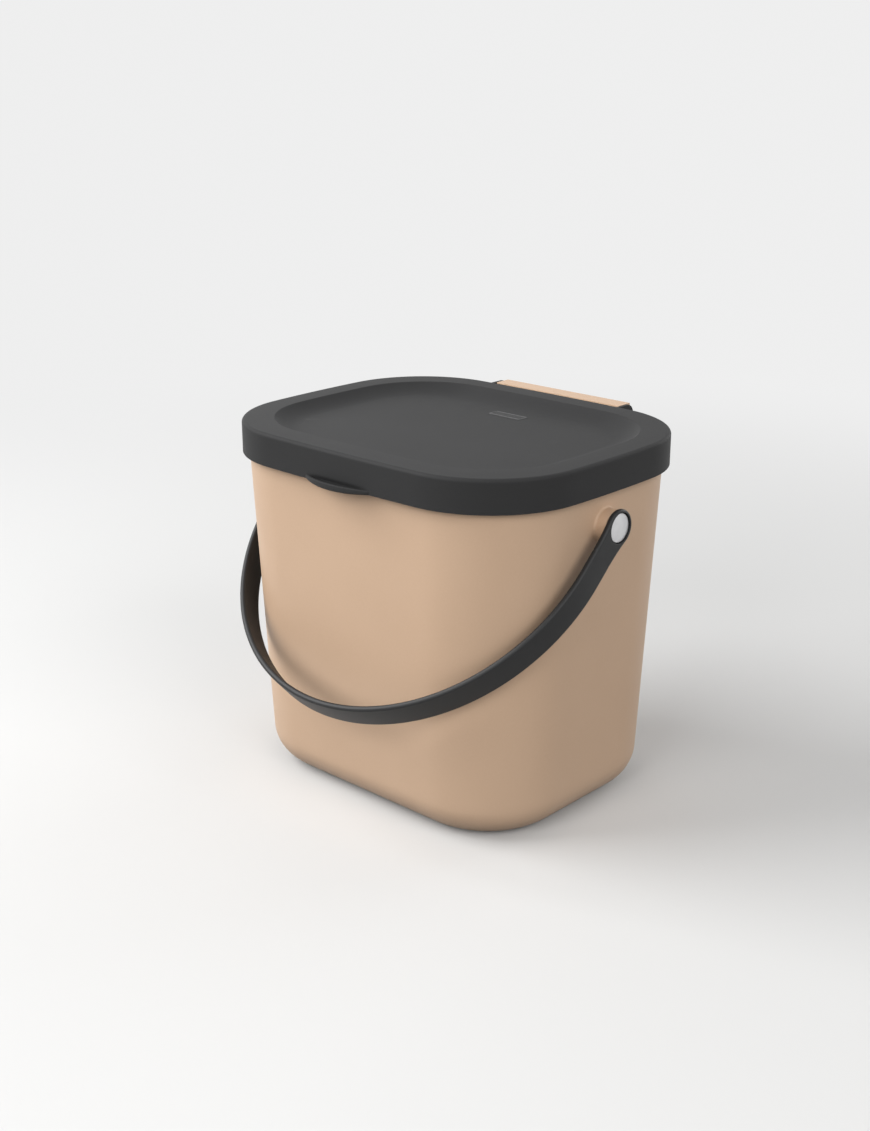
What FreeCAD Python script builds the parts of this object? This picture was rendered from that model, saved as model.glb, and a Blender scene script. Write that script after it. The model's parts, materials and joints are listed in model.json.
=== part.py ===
import FreeCAD, Part
import math
import os

# Kitchen waste caddy: a tapered tub, a hinged lid with a dished top and a strap handle on two rivets.
# Sizes are in millimetres and angles in degrees. X runs along the handle's pivot line, -Y is the front
# with the finger lip, +Y is the hinge side and Z is up. The origin is the middle of the tub's underside.

Vector = FreeCAD.Vector

# Tub
tub_height = 205.6
tub_width = 215.8            # outside, left to right at the rim
tub_depth = 172.6            # outside, front to rear at the rim
tub_corner = 52.5            # outside corner radius at the rim
base_corner = 49.5           # outside corner radius at the foot
side_draft = 2.0             # lean of the left and right walls
end_draft = 2.5              # lean of the front and rear walls
tub_wall = 2.0
tub_floor = 2.4
foot_radius = 20.5           # round of the outside bottom edge
rim_round = 0.7

# Lid
lid_thickness = 2.2
lid_seat_gap = 0.2           # between the tub's rim and the lid's underside
lid_overhang = 4.9           # from the tub's rim to the outside of the lid
lid_corner_ease = 1.2        # how much rounder the lid's corners are than the tub's
side_bow_radius = 700.0      # gentle outward bow of the lid's left and right edges
end_bow_radius = 1650.0      # gentle outward bow of the lid's front and rear edges
lid_edge_round = 3.5
skirt_depth = 18.4           # from the lid's top to the skirt's lower edge
skirt_wall = 1.6
rear_skirt_depth = 10.0      # the skirt is shallower at the rear, to clear the tub as the lid opens
rear_relief_reach = 17.2     # how far forward of the lid's rear edge that shallow stretch starts
rear_relief_slope = 5.0      # run of the slope from the deep skirt to the shallow one

# Dish in the lid's top
dish_border_side = 15.0
dish_border_front = 14.2
dish_border_rear = 17.5
dish_corner = 45.0
dish_depth = 5.5
dish_slope_run = 15.0        # level run of the hollow slope from the rim down to the dish's floor
dish_rim_round = 2.0

# Finger lip at the front of the skirt
lip_width = 47.0
lip_reach = 6.0
lip_height = 4.2
lip_drop = 1.6               # how far the lip hangs below the skirt
lip_wall = 1.6
lip_edge_round = 0.8

# Hinge
hinge_back = 6.4             # axis behind the lid's rear edge
hinge_drop = 11.5            # axis below the lid's top
bracket_inset = 61.4         # from the tub's side to each end of the bracket
bracket_back = 5.0           # from the axis to the bracket's rear face
bracket_foot_drop = 27.0     # from the rim to where the bracket's slope meets the tub
bracket_face_drop = 17.0     # height of the bracket's upright rear face
bracket_wall = 2.2
bracket_end_wall = 6.5
bracket_rib_count = 3
bracket_front_gap = 0.5      # from the lid's rear edge to the bracket's raised strip
bracket_edge_round = 0.6
lid_swing_gap = 0.4          # from the bracket's strip to the lid's edge as it swings past
ear_gap = 0.3                # from each end of the bracket to the lid's ear
ear_thickness = 2.0
ear_radius = 5.5             # round of the ear about its pin and at its upper rear corner
pin_diameter = 4.0
pin_length = 4.0
pin_clearance = 0.05         # radial
pin_end_gap = 0.5

# Handle
pivot_drop = 35.0            # from the tub's rim down to the pivot line
handle_side_gap = 1.1        # from the lid's widest point to the inside of the handle
handle_leg = 32.3            # straight leg from the pivot to the half circle
handle_width = 16.6
handle_thickness = 3.4
handle_edge_round = 1.1
handle_rest_gap = 2.7        # from the hanging handle to the tub's front corners
eyelet_diameter = 20.0
eyelet_neck_radius = 14.0

# Rivets
shank_diameter = 3.8
shank_clearance = 0.05       # radial, in the tub and in the handle
head_diameter = 16.0
head_thickness = 1.2
head_crown = 0.4
head_pocket_gap = 0.35       # radial gap round the head in its pocket
head_inset = 0.5             # how far the head's crown lies below the eyelet's face
handle_play = 0.15           # side play of the eyelet, between the boss and the head
boss_diameter = 18.0
boss_root_round = 1.2
pad_diameter = 18.0
pad_height = 1.0
washer_diameter = 13.0
washer_thickness = 1.0
tail_diameter = 9.0
tail_thickness = 1.6
rivet_edge_round = 0.5       # rims of the head's face and of the tail

# Fineness of the geometry
same = 1e-4                  # lengths closer than this count as equal
angle_fineness = 1e-5        # radians, for the angle at which the handle hangs

# Levels and places that follow from these sizes
lid_top = tub_height + lid_seat_gap + lid_thickness
skirt_bottom = lid_top - skirt_depth
lid_half_width = tub_width / 2 + lid_overhang
lid_half_depth = tub_depth / 2 + lid_overhang
lid_corner = tub_corner + lid_overhang + lid_corner_ease
hinge_y = lid_half_depth + hinge_back
hinge_z = lid_top - hinge_drop
bracket_length = tub_width - 2 * bracket_inset
bracket_front = lid_half_depth + bracket_front_gap
bracket_rear = hinge_y + bracket_back
ear_inside = bracket_length / 2 + ear_gap
pivot_z = tub_height - pivot_drop
handle_inside = lid_half_width + handle_side_gap
handle_outside = handle_inside + handle_thickness
boss_face = handle_inside - handle_play
head_top = handle_outside - head_inset
head_under = head_top - head_crown - head_thickness
pocket_floor = head_under - handle_play


def tub_half_width(z):
    """Outside half width of the tub at a height."""
    return tub_width / 2 - (tub_height - z) * math.tan(math.radians(side_draft))


def tub_half_depth(z):
    """Outside half depth of the tub at a height."""
    return tub_depth / 2 - (tub_height - z) * math.tan(math.radians(end_draft))


def tub_corner_radius(z):
    """Outside corner radius of the tub at a height."""
    return base_corner + (tub_corner - base_corner) * z / tub_height


def arc_about(centre, radius, start, end, z):
    """Arc about a centre in the level plane, between two angles in radians."""
    def at(angle):
        return Vector(centre[0] + radius * math.cos(angle), centre[1] + radius * math.sin(angle), z)
    return Part.Arc(at(start), at((start + end) / 2), at(end)).toShape()


def rounded_rectangle(half_width, half_depth, corner, z):
    """Closed wire of four straight sides and four round corners."""
    x = half_width - corner
    y = half_depth - corner
    edges = []
    centres = [(x, y), (-x, y), (-x, -y), (x, -y)]
    for quarter, centre in enumerate(centres):
        start = quarter * math.pi / 2
        edges.append(arc_about(centre, corner, start, start + math.pi / 2, z))
    sides = []
    for quarter in range(4):
        here = edges[quarter].Vertexes[1].Point
        there = edges[(quarter + 1) % 4].Vertexes[0].Point
        sides.append(Part.LineSegment(here, there).toShape())
    return Part.Wire([edge for pair in zip(edges, sides) for edge in pair])


def bowed_outline(half_width, half_depth, inset, corner, z, shift=0.0):
    """Closed wire of eight tangent arcs: bowed sides and ends, with round corners between them.

    A corner's centre lies where a circle about the side's centre, smaller by the corner radius,
    meets the same circle about the end's centre.
    """
    side = side_bow_radius - inset
    end = end_bow_radius - inset
    side_centre = half_width - side
    end_centre = half_depth - end
    side_reach = side - corner
    end_reach = end - corner
    span = math.hypot(side_centre, end_centre)
    along = (side_reach ** 2 - end_reach ** 2 + span ** 2) / (2 * span)
    across = math.sqrt(side_reach ** 2 - along ** 2)
    ux = -side_centre / span
    uy = end_centre / span
    corner_x = side_centre + along * ux - across * uy
    corner_y = along * uy + across * ux
    side_angle = math.atan2(corner_y, corner_x - side_centre)
    end_angle = math.atan2(corner_y - end_centre, corner_x)
    edges = []
    for turn in (0, 2):
        sign = 1 - turn
        base = turn * math.pi / 2
        edges.append(arc_about((sign * side_centre, shift), side, base - side_angle, base + side_angle, z))
        first = (sign * corner_x, shift + sign * corner_y)
        edges.append(arc_about(first, corner, base + side_angle, base + end_angle, z))
        edges.append(arc_about((0, shift + sign * end_centre), end, base + end_angle,
                               base + math.pi - end_angle, z))
        second = (-sign * corner_x, shift + sign * corner_y)
        edges.append(arc_about(second, corner, base + math.pi - end_angle, base + math.pi - side_angle, z))
    return Part.Wire(edges)


def upright(wire, height):
    """Solid raised from a closed level wire."""
    return Part.Face(wire).extrude(Vector(0, 0, height))


def block(x, y, z):
    """Box between pairs of low and high values."""
    size = (x[1] - x[0], y[1] - y[0], z[1] - z[0])
    return Part.makeBox(*size, Vector(x[0], y[0], z[0]))


def rod(radius, x_from, x_to, y, z):
    """Round bar along X."""
    return Part.makeCylinder(radius, x_to - x_from, Vector(x_from, y, z), Vector(1, 0, 0))


def side_profile(points, x_from, x_to):
    """Solid from a closed outline of (y, z) points, drawn out along X."""
    corners = [Vector(x_from, y, z) for y, z in points]
    return Part.Face(Part.makePolygon(corners + corners[:1])).extrude(Vector(x_to - x_from, 0, 0))


def edges_at_height(shape, z):
    """Edges that lie level at one height."""
    return [e for e in shape.Edges if abs(e.BoundBox.ZMin - z) < same and abs(e.BoundBox.ZMax - z) < same]


def mirrored(shape):
    """The same shape on the left side."""
    return shape.mirror(Vector(0, 0, 0), Vector(1, 0, 0))


def tapered(wall, bottom, foot):
    """Tapered solid inside the tub's outside by a wall, from a level up to the rim, with a round foot."""
    sections = []
    for z in (bottom, tub_height):
        corner = tub_corner_radius(z) - wall
        sections.append(rounded_rectangle(tub_half_width(z) - wall, tub_half_depth(z) - wall, corner, z))
    solid = Part.makeLoft(sections, True, True)
    return solid.makeFillet(foot, edges_at_height(solid, bottom))


def hinge_bracket():
    """Hollow bracket behind the rim, open below, whose raised strip fills the lid's rear notch."""
    half = bracket_length / 2
    foot_z = tub_height - bracket_foot_drop
    face_z = lid_top - bracket_face_drop
    inside_wall = tub_half_depth(foot_z) - tub_wall / 2
    outline = [(inside_wall, tub_height), (bracket_front, tub_height), (bracket_front, lid_top),
               (bracket_rear, lid_top), (bracket_rear, face_z), (inside_wall, foot_z)]
    outer = side_profile(outline, -half, half)
    top_edges = [e for e in edges_at_height(outer, lid_top) if e.Length > half]
    outer = outer.makeFillet(bracket_edge_round, top_edges)
    tub_face = tub_half_depth(tub_height)
    step = bracket_front + bracket_wall
    shelf = tub_height - bracket_wall
    roof = lid_top - bracket_wall
    back = bracket_rear - bracket_wall
    low = foot_z - bracket_wall
    bay_space = side_profile([(tub_face, low), (tub_face, shelf), (step, shelf), (step, roof),
                              (back, roof), (back, low)], -half + bracket_end_wall, half - bracket_end_wall)
    bay_pitch = (bracket_length - 2 * bracket_end_wall) / (bracket_rib_count + 1)
    for count in range(bracket_rib_count):
        middle = -half + bracket_end_wall + (count + 1) * bay_pitch
        rib = (middle - bracket_wall / 2, middle + bracket_wall / 2)
        bay_space = bay_space.cut(block(rib, (tub_face - tub_wall, bracket_rear), (low, lid_top)))
    bracket = outer.cut(bay_space)
    socket_depth = pin_length - ear_gap + pin_end_gap
    for x_from in (half - socket_depth, -half):
        bracket = bracket.cut(rod(pin_diameter / 2 + pin_clearance, x_from, x_from + socket_depth,
                                  hinge_y, hinge_z))
    return bracket


def pivot_boss():
    """Boss on the right wall that carries the handle, with the pad inside it."""
    wall_middle = tub_half_width(pivot_z) - tub_wall / 2
    boss = rod(boss_diameter / 2, wall_middle, boss_face, 0, pivot_z)
    pad = rod(pad_diameter / 2, pad_face(), wall_middle, 0, pivot_z)
    return boss.fuse(pad)


def pad_face():
    """X of the pad's flat face inside the tub, where the rivet's washer sits."""
    highest_wall = tub_half_width(pivot_z - pad_diameter / 2) - tub_wall
    return highest_wall - pad_height


def boss_root_edges(shape):
    """Edges where the bosses rise from the outside of the tub."""
    reach = boss_diameter / 2
    root_low = tub_half_width(pivot_z - reach) - tub_wall / 4
    root_high = tub_half_width(pivot_z + reach) + tub_wall / 4
    found = []
    for edge in shape.Edges:
        box = edge.BoundBox
        nearest = min(abs(box.XMin), abs(box.XMax))
        furthest = max(abs(box.XMin), abs(box.XMax))
        round_the_pivot = abs(box.ZLength - boss_diameter) < boss_root_round and box.YLength > reach
        if round_the_pivot and nearest > root_low and furthest < root_high:
            found.append(edge)
    return found


def make_bin_body():
    """Tub with its rim, bosses and hinge bracket."""
    outside = tapered(0, 0, foot_radius)
    inside = tapered(tub_wall, tub_floor, foot_radius - tub_wall)
    tub = outside.cut(inside)
    tub = tub.makeFillet(rim_round, edges_at_height(tub, tub_height))
    boss = pivot_boss()
    tub = tub.fuse([boss, mirrored(boss)]).removeSplitter()
    tub = tub.makeFillet(boss_root_round, boss_root_edges(tub))
    tub = tub.fuse(hinge_bracket()).removeSplitter()
    reach = handle_outside
    return tub.cut(rod(shank_diameter / 2 + shank_clearance, -reach, reach, 0, pivot_z))


def dish(inset, floor_z):
    """Space of the dish, or its outside when inset by the lid's thickness: a prism with a hollow foot.

    The slope is an arc that is tangent to the dish's floor and reaches the rim after the slope's run.
    """
    slope_radius = (dish_slope_run ** 2 + dish_depth ** 2) / (2 * dish_depth)
    hidden_run = slope_radius - dish_slope_run
    grow = hidden_run + inset
    half_width = lid_half_width - dish_border_side + grow
    half_depth = lid_half_depth - (dish_border_front + dish_border_rear) / 2 + grow
    shift = (dish_border_front - dish_border_rear) / 2
    border = lid_half_width - half_width
    prism = upright(bowed_outline(half_width, half_depth, border, dish_corner + grow, floor_z, shift),
                    2 * slope_radius)
    return prism.makeFillet(slope_radius + inset, edges_at_height(prism, floor_z))


def finger_lip():
    """Crescent lip under the front of the skirt, with a trough behind its edge."""
    bottom = skirt_bottom - lip_drop
    bow = ((lip_width / 2) ** 2 + lip_reach ** 2) / (2 * lip_reach)
    centre = Vector(0, bow - lip_reach - lid_half_depth, bottom)
    crescent = Part.makeCylinder(bow, lip_height, centre)
    front = block((-lip_width, lip_width), (-2 * lid_half_depth, skirt_wall - lid_half_depth),
                  (bottom, lid_top))
    trough = Part.makeCylinder(bow - lip_wall, lip_height, centre + Vector(0, 0, lip_wall))
    lid_block = upright(bowed_outline(lid_half_width, lid_half_depth, 0, lid_corner, bottom), skirt_depth)
    shelf = crescent.common(front)
    edges = [e for e in edges_at_height(shelf, bottom) if e.BoundBox.YMin < -lid_half_depth - lip_reach / 2]
    shelf = shelf.makeFillet(lip_edge_round, edges)
    return shelf.cut(trough.cut(lid_block))


def hinge_ear():
    """Ear at the right end of the bracket, with its stub pin."""
    outside = ear_inside + ear_thickness
    rear = hinge_y + ear_radius
    tab = block((ear_inside, outside), (lid_half_depth - lid_edge_round, rear), (hinge_z, lid_top))
    corner = [e for e in edges_at_height(tab, lid_top) if abs(e.BoundBox.YMin - rear) < same]
    tab = tab.makeFillet(ear_radius, corner)
    disc = rod(ear_radius, ear_inside, outside, hinge_y, hinge_z)
    pin = rod(pin_diameter / 2, ear_inside - pin_length, ear_inside, hinge_y, hinge_z)
    return tab.fuse([disc, pin])


def make_lid():
    """Lid with a dished top, a skirt that is shallower at the rear, a finger lip and hinge ears."""
    outside = upright(bowed_outline(lid_half_width, lid_half_depth, 0, lid_corner, skirt_bottom), skirt_depth)
    outside = outside.makeFillet(lid_edge_round, edges_at_height(outside, lid_top))
    inside = upright(bowed_outline(lid_half_width - skirt_wall, lid_half_depth - skirt_wall, skirt_wall,
                                   lid_corner - skirt_wall, skirt_bottom), skirt_depth - lid_thickness)
    dish_floor = lid_top - dish_depth
    hollow = inside.cut(dish(lid_thickness, dish_floor - lid_thickness))
    lid = outside.cut(dish(0, dish_floor))
    lid = lid.makeFillet(dish_rim_round, dish_rim_edges(lid))
    lid = lid.cut(hollow)

    relief_start = lid_half_depth - rear_relief_reach
    shallow = lid_top - rear_skirt_depth
    far = hinge_y + bracket_back
    relief = side_profile([(relief_start, skirt_bottom), (relief_start + rear_relief_slope, shallow),
                           (far, shallow), (far, skirt_bottom)], -lid_half_width, lid_half_width)
    lid = lid.cut(relief)

    swing = math.hypot(hinge_y - bracket_front, hinge_drop) + lid_swing_gap
    notch = rod(swing, -ear_inside, ear_inside, hinge_y, hinge_z)
    bow_sag = ear_inside ** 2 / (2 * end_bow_radius)
    rear_wall = (lid_half_depth - skirt_wall - bow_sag - lid_swing_gap, lid_half_depth + lid_swing_gap)
    notch = notch.fuse(block((-ear_inside, ear_inside), rear_wall, (skirt_bottom, lid_top - lid_thickness)))
    ear = hinge_ear()
    return lid.cut(notch).fuse([ear, mirrored(ear), finger_lip()]).removeSplitter()


def dish_rim_edges(shape):
    """Edges where the dish meets the lid's flat border."""
    limit_x = lid_half_width - dish_border_side / 2
    limit_y = lid_half_depth - min(dish_border_front, dish_border_rear) / 2
    found = []
    for edge in edges_at_height(shape, lid_top):
        box = edge.BoundBox
        if max(abs(box.XMin), abs(box.XMax)) < limit_x and max(abs(box.YMin), abs(box.YMax)) < limit_y:
            found.append(edge)
    return found


def handle_loop(half_width, leg_end):
    """Face of the handle's outline in its own plane, out to a half width."""
    crown = arc_about((0, -handle_leg), half_width, math.pi, 2 * math.pi, 0)
    left = Vector(-half_width, leg_end, 0)
    right = Vector(half_width, leg_end, 0)
    down = Part.LineSegment(left, crown.Vertexes[0].Point).toShape()
    up = Part.LineSegment(crown.Vertexes[1].Point, right).toShape()
    return Part.Face(Part.Wire([down, crown, up, Part.LineSegment(right, left).toShape()]))


def handle_hang_angle():
    """Angle below level at which the hanging handle is the rest gap away from the tub.

    Points along the handle's inner lower edge are measured against the tub's rounded outline at
    their own height, and the angle is halved down to the one that leaves the rest gap.
    """
    def gap(angle):
        least = handle_inside
        for degree in range(91):
            turn = math.radians(degree)
            x = handle_inside * math.cos(turn)
            reach = handle_leg + handle_inside * math.sin(turn)
            y = reach * math.cos(angle) - handle_width / 2 * math.sin(angle)
            z = pivot_z - reach * math.sin(angle) - handle_width / 2 * math.cos(angle)
            corner = tub_corner_radius(z)
            over_x = x - tub_half_width(z) + corner
            over_y = y - tub_half_depth(z) + corner
            beyond = math.hypot(max(over_x, 0), max(over_y, 0)) + min(max(over_x, over_y), 0)
            least = min(least, beyond - corner)
        return least
    low = 0.0
    high = math.pi / 2
    while high - low > angle_fineness:
        middle = (low + high) / 2
        if gap(middle) > handle_rest_gap:
            low = middle
        else:
            high = middle
    return low


def make_handle(hang_angle):
    """Strap handle: a half circle on straight legs, ending in round eyelets with pockets for the rivets."""
    eyelet = eyelet_diameter / 2
    loop = handle_loop(handle_outside, 0).cut(handle_loop(handle_inside, eyelet))
    strap = loop.extrude(Vector(0, 0, handle_width))
    strap.translate(Vector(0, 0, -handle_width / 2))
    end = rod(eyelet, handle_inside, handle_outside, 0, 0)
    handle = strap.fuse([end, mirrored(end)]).removeSplitter()
    handle = handle.makeFillet(eyelet_neck_radius, [e for e in handle.Edges if is_neck(e)])
    handle = handle.makeFillet(handle_edge_round, [e for e in handle.Edges if is_rim(e)])
    bore = rod(shank_diameter / 2 + shank_clearance, -handle_outside, handle_outside, 0, 0)
    pocket = rod(head_diameter / 2 + head_pocket_gap, pocket_floor, handle_outside, 0, 0)
    handle = handle.cut([bore, pocket, mirrored(pocket)])
    handle.rotate(Vector(0, 0, 0), Vector(1, 0, 0), math.degrees(hang_angle))
    handle.translate(Vector(0, 0, pivot_z))
    return handle


def is_neck(edge):
    """True for the short edges across the strap where an eyelet joins its leg."""
    box = edge.BoundBox
    across = abs(box.XLength - handle_thickness) < same
    return across and abs(abs(box.ZMax) - handle_width / 2) < same and box.ZLength < same


def is_rim(edge):
    """True for the long edges round the handle, on its inner and outer faces."""
    box = edge.BoundBox
    across = abs(box.XLength - handle_thickness) < same and box.YLength < same and box.ZLength < same
    return not across


def make_rivet():
    """Right rivet: crowned head, shank through eyelet, boss and wall, and formed tail inside."""
    head = head_diameter / 2
    shank = shank_diameter / 2
    tail = tail_diameter / 2
    tail_top = pad_face() - washer_thickness
    head_edge = head_under + head_thickness
    profile = [Vector(tail_top - tail_thickness, 0, 0), Vector(tail_top - tail_thickness, tail, 0),
               Vector(tail_top, tail, 0), Vector(tail_top, shank, 0), Vector(head_under, shank, 0),
               Vector(head_under, head, 0), Vector(head_edge, head, 0)]
    edges = [Part.LineSegment(a, b).toShape() for a, b in zip(profile, profile[1:])]
    crown_radius = (head ** 2 + head_crown ** 2) / (2 * head_crown)
    half_turn = math.asin(head / crown_radius) / 2
    crown_middle = Vector(head_top - crown_radius * (1 - math.cos(half_turn)),
                          crown_radius * math.sin(half_turn), 0)
    edges.append(Part.Arc(profile[-1], crown_middle, Vector(head_top, 0, 0)).toShape())
    edges.append(Part.LineSegment(Vector(head_top, 0, 0), profile[0]).toShape())
    rivet = Part.Face(Part.Wire(edges)).revolve(Vector(0, 0, 0), Vector(1, 0, 0), 360)
    outer_edges = [e for e in rivet.Edges if is_rivet_round(e, head_edge, tail_top - tail_thickness)]
    rivet = rivet.makeFillet(rivet_edge_round, outer_edges)
    rivet.translate(Vector(0, 0, pivot_z))
    return rivet


def is_rivet_round(edge, head_edge, tail_end):
    """True for the rims of the head's face and of the formed tail."""
    box = edge.BoundBox
    level = box.XLength < same
    return level and (abs(box.XMin - head_edge) < same or abs(box.XMin - tail_end) < same)


def make_washer():
    """Washer between the right pad and the rivet's formed tail."""
    inner = pad_face() - washer_thickness
    disc = rod(washer_diameter / 2, inner, pad_face(), 0, pivot_z)
    return disc.cut(rod(shank_diameter / 2 + shank_clearance, inner, pad_face(), 0, pivot_z))


hang_angle = handle_hang_angle()
rivet = make_rivet()
washer = make_washer()
pieces = {
    "bin_body": make_bin_body(),
    "lid": make_lid(),
    "handle": make_handle(hang_angle),
    "handle_rivet_right": rivet,
    "handle_rivet_left": mirrored(rivet),
    "rivet_washer_right": washer,
    "rivet_washer_left": mirrored(washer),
}

os.makedirs("parts", exist_ok=True)
for name, shape in pieces.items():
    shape.exportStep("parts/" + name + ".step")
    box = shape.BoundBox
    print(name, "valid", shape.isValid(), "solids", len(shape.Solids), "volume", round(shape.Volume, 1),
          "x", round(box.XMin, 2), round(box.XMax, 2), "y", round(box.YMin, 2), round(box.YMax, 2),
          "z", round(box.ZMin, 2), round(box.ZMax, 2))
print("handle hangs", round(math.degrees(hang_angle), 3), "degrees below level")
print("hinge axis y", round(hinge_y, 3), "z", round(hinge_z, 3), "pivot line z", round(pivot_z, 3))
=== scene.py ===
# %% [markdown]
# A kitchen waste caddy: a warm beige tub, an anthracite lid with a dished top, and a strap handle that
# hangs from two metal rivets. The imported model gives the frame: its bodies move, and every surface
# made below rides on one of them. The model's own box is kept. The places of the hinge and of the
# handle's pivot come from the frame's joints, in millimetres.

# %% Load the fixed frame
import json
import math

import bmesh
import bpy
import numpy as np
from mathutils import Matrix, Vector


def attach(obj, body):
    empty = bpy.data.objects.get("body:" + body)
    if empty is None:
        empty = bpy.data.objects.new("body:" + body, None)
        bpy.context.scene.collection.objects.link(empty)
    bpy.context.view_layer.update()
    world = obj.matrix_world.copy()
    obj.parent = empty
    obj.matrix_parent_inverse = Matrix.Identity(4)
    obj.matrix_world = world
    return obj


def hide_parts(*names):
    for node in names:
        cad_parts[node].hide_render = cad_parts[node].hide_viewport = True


MM = 0.001
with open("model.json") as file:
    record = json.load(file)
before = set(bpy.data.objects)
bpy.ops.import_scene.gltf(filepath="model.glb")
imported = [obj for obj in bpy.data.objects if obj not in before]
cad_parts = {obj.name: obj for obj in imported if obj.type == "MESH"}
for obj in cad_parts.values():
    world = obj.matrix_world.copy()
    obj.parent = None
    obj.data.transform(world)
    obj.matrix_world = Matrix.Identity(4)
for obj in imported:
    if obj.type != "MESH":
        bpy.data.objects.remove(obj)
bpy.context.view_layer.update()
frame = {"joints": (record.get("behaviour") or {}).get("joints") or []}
joint_place = {joint["name"]: np.array(joint["pos_m"]) / MM for joint in frame["joints"]}
HINGE_Y, HINGE_Z = joint_place["lid_hinge"][1:]
PIVOT_Z = joint_place["handle_swing"][2]

# %% [markdown]
# The camera comes first, because every comparison with the picture depends on it. It stands to the
# right of the front, a little above the lid, with a lens of about 50 mm on a frame 36 mm high. Its
# three axes come from one direction: back from the object to the camera.

# %% Camera at the picture's angle
LENS, FRAME_HEIGHT = 50.0, 36.0
CAMERA_PLACE = (571.5, -635.79, 420.57)
CAMERA_BACK = (0.63963, -0.69464, 0.32917)


def aim(back):
    """Rotation whose Z looks back along a direction and whose X stays level."""
    back = Vector(back).normalized()
    right = Vector((0, 0, 1)).cross(back).normalized()
    up = back.cross(right)
    return Matrix((right, up, back)).transposed().to_4x4()


camera_data = bpy.data.cameras.new("picture_camera")
camera_data.sensor_fit = "VERTICAL"
camera_data.sensor_height = FRAME_HEIGHT
camera_data.lens = LENS
camera = bpy.data.objects.new("picture_camera", camera_data)
camera.matrix_world = Matrix.Translation(Vector(CAMERA_PLACE) * MM) @ aim(CAMERA_BACK)
bpy.context.scene.collection.objects.link(camera)
bpy.context.scene.camera = camera
print("camera lens", camera_data.lens, "mm")

# %% [markdown]
# Every moulding here is a skin over a grid of points: rows run along a profile, and columns run round
# an outline. A skin is kept as its points and its faces. Points that fall on each other, at a seam or
# at a pole where a ring shrinks to nothing, are merged later, so no edge is left open.

# %% Grids of points as skins
def quads(rows, columns):
    """Corner numbers of the faces between neighbouring rows of a grid whose columns close on themselves."""
    row, column = np.meshgrid(np.arange(rows - 1), np.arange(columns), indexing="ij")
    after = (column + 1) % columns
    this_row, next_row = row * columns, (row + 1) * columns
    corners = (this_row + column, this_row + after, next_row + after, next_row + column)
    return np.stack(corners, axis=-1).reshape(-1, 4)


def skin(points):
    """A grid of points in millimetres, closed round its columns, as (points, faces)."""
    return points.reshape(-1, 3), quads(*points.shape[:2])


def capped(rings):
    """Rings with one more at each end, shrunk to its middle point, so that the skin's ends are closed."""
    middles = np.broadcast_to(rings[[0, -1]].mean(axis=1, keepdims=True), (2,) + rings.shape[1:])
    return np.concatenate([middles[:1], rings, middles[1:]])


def left_of(part):
    """The same skin mirrored to the left side."""
    points, faces = part
    return points * np.array([-1.0, 1.0, 1.0]), faces


def outward(part):
    """A closed skin with its faces outwards: its volume, a sixth of the sum of a . (b x c), is positive."""
    points, faces = part
    a, b, c, d = np.moveaxis(points[faces], 1, 0)
    volume = np.sum(a * (np.cross(b, c) + np.cross(c, d))) / 6
    return points, faces if volume > 0 else faces[:, ::-1]


def eased(start, end, count):
    """Values from start to end that crowd together at both ends: half of 1 - cos, over half a turn."""
    return start + (end - start) * (1 - np.cos(np.linspace(0, np.pi, count))) / 2


def around(count):
    """Angles of a whole turn, without the repeated last one."""
    return np.linspace(0, 2 * np.pi, count, endpoint=False)


def quarter(count):
    """Angles of a quarter turn, with both ends."""
    return np.linspace(0, np.pi / 2, count)


def with_height(flat, z):
    """Rings of flat points, each ring at its own height."""
    return np.concatenate([flat, np.broadcast_to(z[:, None, None], flat.shape[:2] + (1,))], axis=-1)


print("grid helpers ready")

# %% [markdown]
# A piece is one mesh made of a few skins. It stays at the origin, with its place in its points, and
# rides on a body. Round stretches shade smoothly, and sharp turns stay crisp.

# %% From skins to a piece
MERGE_GAP, SLIVER = 0.002, 0.001
SHARP_ANGLE = math.radians(35.0)


def merged_mesh(name, points, faces, mend):
    """A mesh in metres from points in millimetres: doubles are merged, and then one more step mends it."""
    mesh = bpy.data.meshes.new(name)
    mesh.from_pydata(points * MM, [], faces)
    work = bmesh.new()
    work.from_mesh(mesh)
    bmesh.ops.remove_doubles(work, verts=work.verts, dist=MERGE_GAP * MM)
    mend(work)
    work.to_mesh(mesh)
    work.free()
    return mesh


def drop_slivers(work):
    """Faces of no width go, such as those that a pole leaves."""
    bmesh.ops.dissolve_degenerate(work, edges=work.edges, dist=SLIVER * MM)


def placed(name, mesh, body, material):
    """A smooth mesh as an object that rides on a body."""
    mesh.shade_smooth()
    mesh.materials.append(material)
    piece = bpy.data.objects.new(name, mesh)
    bpy.context.scene.collection.objects.link(piece)
    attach(piece, body)
    print(name, len(mesh.polygons), "faces")
    return piece


def make_piece(name, parts, body, material):
    """One smooth piece from several closed skins; edges that turn more than the sharp angle stay crisp."""
    parts = [outward(part) for part in parts]
    starts = np.cumsum([0] + [len(part[0]) for part in parts])
    points = np.concatenate([part[0] for part in parts])
    faces = np.concatenate([part[1] + start for part, start in zip(parts, starts)])
    mesh = merged_mesh(name, points, faces, drop_slivers)
    piece = placed(name, mesh, body, material)
    mesh.set_sharp_from_angle(angle=SHARP_ANGLE)
    return piece


print("piece helpers ready")

# %% [markdown]
# Shader maths reads best as plain arithmetic. A small class wraps one socket, so that 1 - mask or
# 0.4 + 0.1 * grain adds the Math nodes by itself, and one method adds any other node.

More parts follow.
